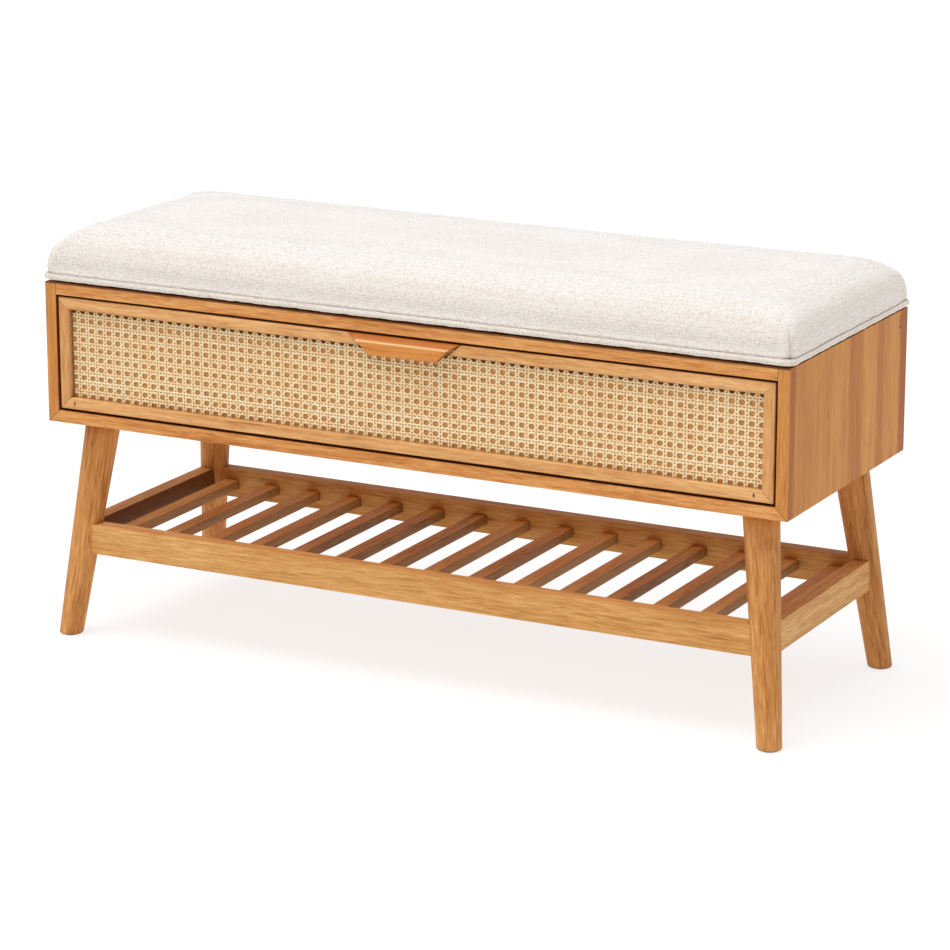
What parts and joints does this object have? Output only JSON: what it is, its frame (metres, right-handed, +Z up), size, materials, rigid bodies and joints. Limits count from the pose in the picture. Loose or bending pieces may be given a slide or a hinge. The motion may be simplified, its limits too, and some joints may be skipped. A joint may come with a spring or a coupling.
{
  "type": "entryway bench",
  "caption": "Wooden entryway bench with a cane-fronted drawer, a slatted shelf between splayed round legs and a piped seat cushion.",
  "frame": {"origin": "middle of the footprint, on the floor", "axes": "+X to the right seen from the front, +Y to the back, +Z up; the drawer opens towards -Y"},
  "size_m": [1.01, 0.3758, 0.526],
  "materials": {
    "case_oak": "satin oiled solid wood, honey coloured, staved grain on the ends",
    "frame_oak": "satin solid wood, paler than the case",
    "pull_oak": "satin solid wood, slightly darker than the frame",
    "leg_oak": "satin turned solid wood, grain along the leg",
    "rail_oak": "satin solid wood",
    "slat_oak": "satin solid wood, edges eased",
    "plywood": "clear matt plywood",
    "beech": "plain beech dowel",
    "cane": "woven natural cane, half-inch mesh with octagonal holes",
    "linen": "cream slubbed plain weave",
    "steel": "zinc-plated steel",
    "brass": "plain brass",
    "glide_plastic": "matt nylon"
  },
  "bodies": {
    "case": {"left_side_panel": "case_oak", "right_side_panel": "case_oak", "case_top_panel": "case_oak", "case_bottom_panel": "case_oak", "front_left_leg": "leg_oak", "front_right_leg": "leg_oak", "rear_left_leg": "leg_oak", "rear_right_leg": "leg_oak", "shelf_front_rail": "rail_oak", "shelf_back_rail": "rail_oak", "shelf_left_rail": "rail_oak", "shelf_right_rail": "rail_oak", "slat_01": "slat_oak", "slat_02": "slat_oak", "slat_03": "slat_oak", "slat_04": "slat_oak", "slat_05": "slat_oak", "slat_06": "slat_oak", "slat_07": "slat_oak", "slat_08": "slat_oak", "slat_09": "slat_oak", "slat_10": "slat_oak", "slat_11": "slat_oak", "slat_12": "slat_oak", "slat_13": "slat_oak", "slat_14": "slat_oak", "slat_15": "slat_oak", "case_back_panel": "plywood", "seat_board": "plywood", "case_dowels": "beech", "rail_dowels": "beech", "seat_cushion": "linen", "cushion_piping": "linen", "leg_bolts": "steel", "seat_screws": "steel", "left_outer_slide": "steel", "right_outer_slide": "steel", "case_slide_screws": "steel", "leg_inserts": "brass", "foot_glides": "glide_plastic"},
    "drawer": {"left_inner_slide": "steel", "right_inner_slide": "steel", "drawer_slide_screws": "steel", "frame_top_rail": "frame_oak", "frame_bottom_rail": "frame_oak", "frame_left_stile": "frame_oak", "frame_right_stile": "frame_oak", "cane_panel": "cane", "drawer_front_board": "plywood", "drawer_left_side": "plywood", "drawer_right_side": "plywood", "drawer_back": "plywood", "drawer_bottom": "plywood", "drawer_dowels": "beech", "drawer_pull": "pull_oak", "pull_screws": "steel"},
    "slide_cages": {"left_ball_cage": "brass", "right_ball_cage": "brass", "slide_balls": "steel"}
  },
  "joints": [
    {"name": "drawer_slide", "type": "slide", "parent": "case", "child": "drawer", "axis": [0, -1, 0], "range_m": [0, 0.22]},
    {"name": "cage_slide", "type": "slide", "parent": "case", "child": "slide_cages", "axis": [0, -1, 0], "range_m": [0, 0.11]}
  ],
  "couplings": [
    {"joint": "cage_slide", "follows": "drawer_slide", "ratio": 0.5}
  ]
}
